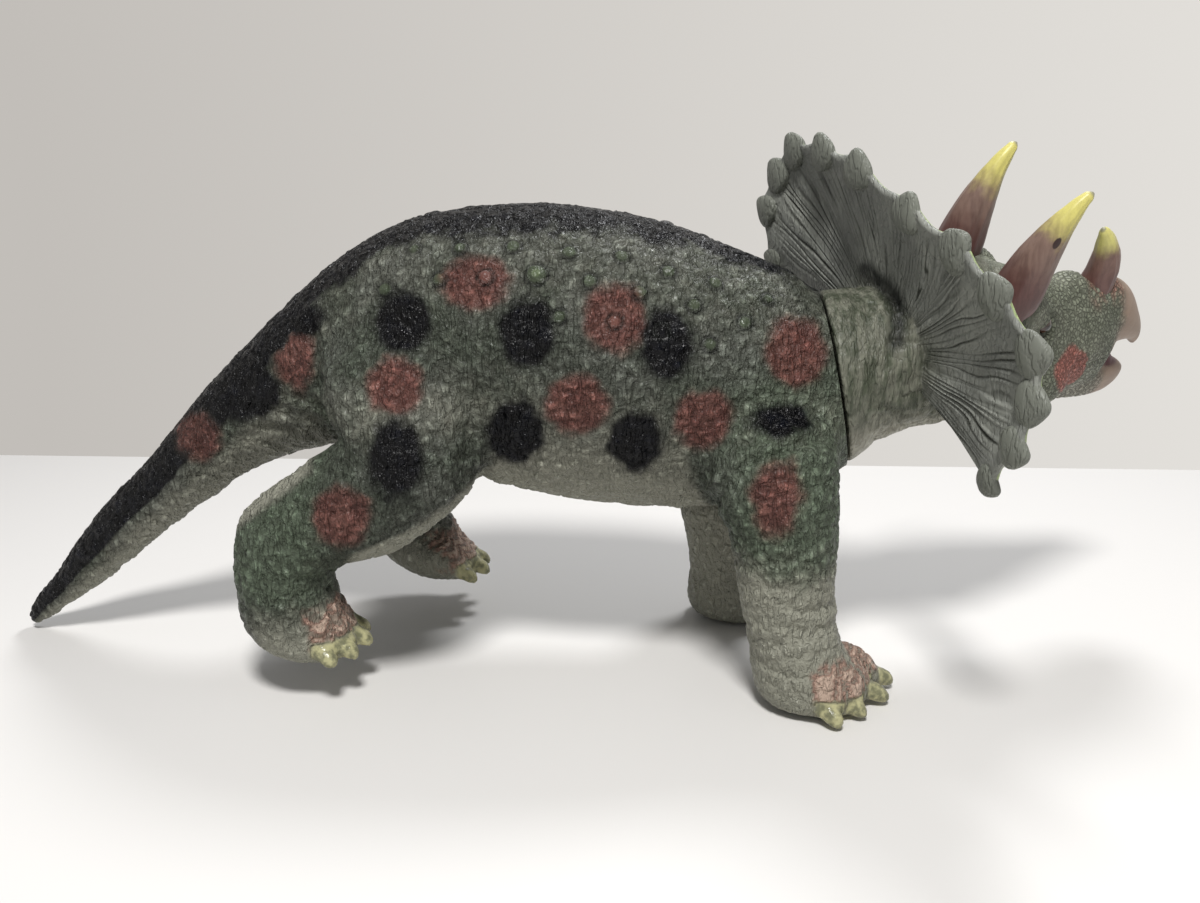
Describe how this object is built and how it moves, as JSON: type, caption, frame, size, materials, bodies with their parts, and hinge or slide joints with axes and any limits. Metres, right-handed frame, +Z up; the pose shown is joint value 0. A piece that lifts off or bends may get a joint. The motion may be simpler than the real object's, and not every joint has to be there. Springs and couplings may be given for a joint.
{
  "type": "toy dinosaur figure",
  "caption": "Hollow soft-vinyl figure of a horned, frilled dinosaur, standing on its front feet and tail tip, with a head that turns on a snap plug in the neck.",
  "frame": {"origin": "centre of the figure's bounding box on the ground plane", "axes": "+X forward along the trunk, +Y to the animal's left, +Z up"},
  "size_m": [0.6018, 0.2038, 0.2642],
  "materials": {
    "body_vinyl": "leathery moulded vinyl, satin, with sprayed spots",
    "head_vinyl": "ridged moulded vinyl, satin",
    "horn_vinyl": "smooth vinyl, sprayed from maroon to yellow-green at the tips",
    "eye_gloss": "gloss",
    "fibre_filling": "loose polyester fibre"
  },
  "bodies": {
    "body": {"body_skin": "body_vinyl", "body_stuffing": "fibre_filling"},
    "head": {"head_skin": "head_vinyl", "head_stuffing": "fibre_filling", "right_brow_horn": "horn_vinyl", "left_brow_horn": "horn_vinyl", "nose_horn": "horn_vinyl", "right_eye": "eye_gloss", "left_eye": "eye_gloss"}
  },
  "joints": [
    {"name": "neck_swivel", "type": "hinge", "parent": "body", "child": "head", "pos_m": [0.1293, 0.0149, 0.149], "axis": [0.9803, 0, 0.1977], "range_deg": [-50, 40]}
  ]
}
